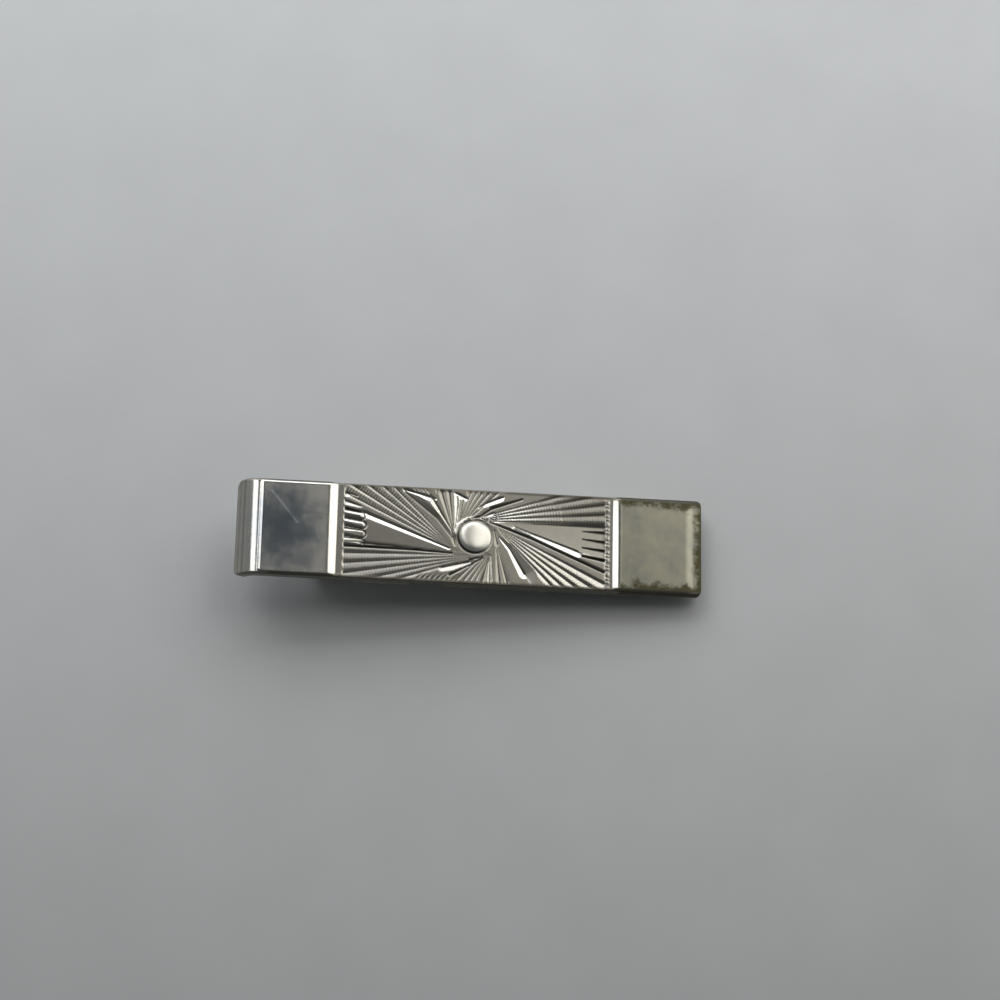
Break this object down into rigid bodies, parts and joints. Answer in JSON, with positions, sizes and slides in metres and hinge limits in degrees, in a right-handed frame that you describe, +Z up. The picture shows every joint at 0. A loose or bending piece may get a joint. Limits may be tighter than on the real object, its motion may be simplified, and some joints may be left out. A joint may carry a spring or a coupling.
{
  "type": "tie clip",
  "caption": "Spring-hinged metal tie clip: a hooked, struck face bar with a pinwheel-fluted panel and domed boss, over a toothed lever that opens when its thumb tab is squeezed.",
  "frame": {"origin": "centre of the part's box, on the surface that the closed clip lies on", "axes": "+X along the clip from the hooked end to the tip, +Y across it, +Z up out of the bar's face"},
  "size_m": [0.0418, 0.009, 0.0058],
  "materials": {
    "silvered_bar": "silver-plated, struck and polished, worn and tarnished at the edges",
    "clasp_steel": "nickel-plated stamped sheet",
    "pin_steel": "riveted",
    "spring_wire": "drawn wire"
  },
  "bodies": {
    "lever": {"lever": "clasp_steel"},
    "bar": {"face_bar": "silvered_bar", "clasp_base": "clasp_steel", "hinge_pin": "pin_steel", "torsion_spring": "spring_wire"}
  },
  "joints": [
    {"name": "jaw_hinge", "type": "hinge", "parent": "lever", "child": "bar", "pos_m": [-0.00394, 0, 0.0017], "axis": [0, -1, 0], "range_deg": [0, 16], "stiffness_Nm_per_rad": 0.05, "springref_deg": -34.38, "deforming": ["torsion_spring"]}
  ]
}
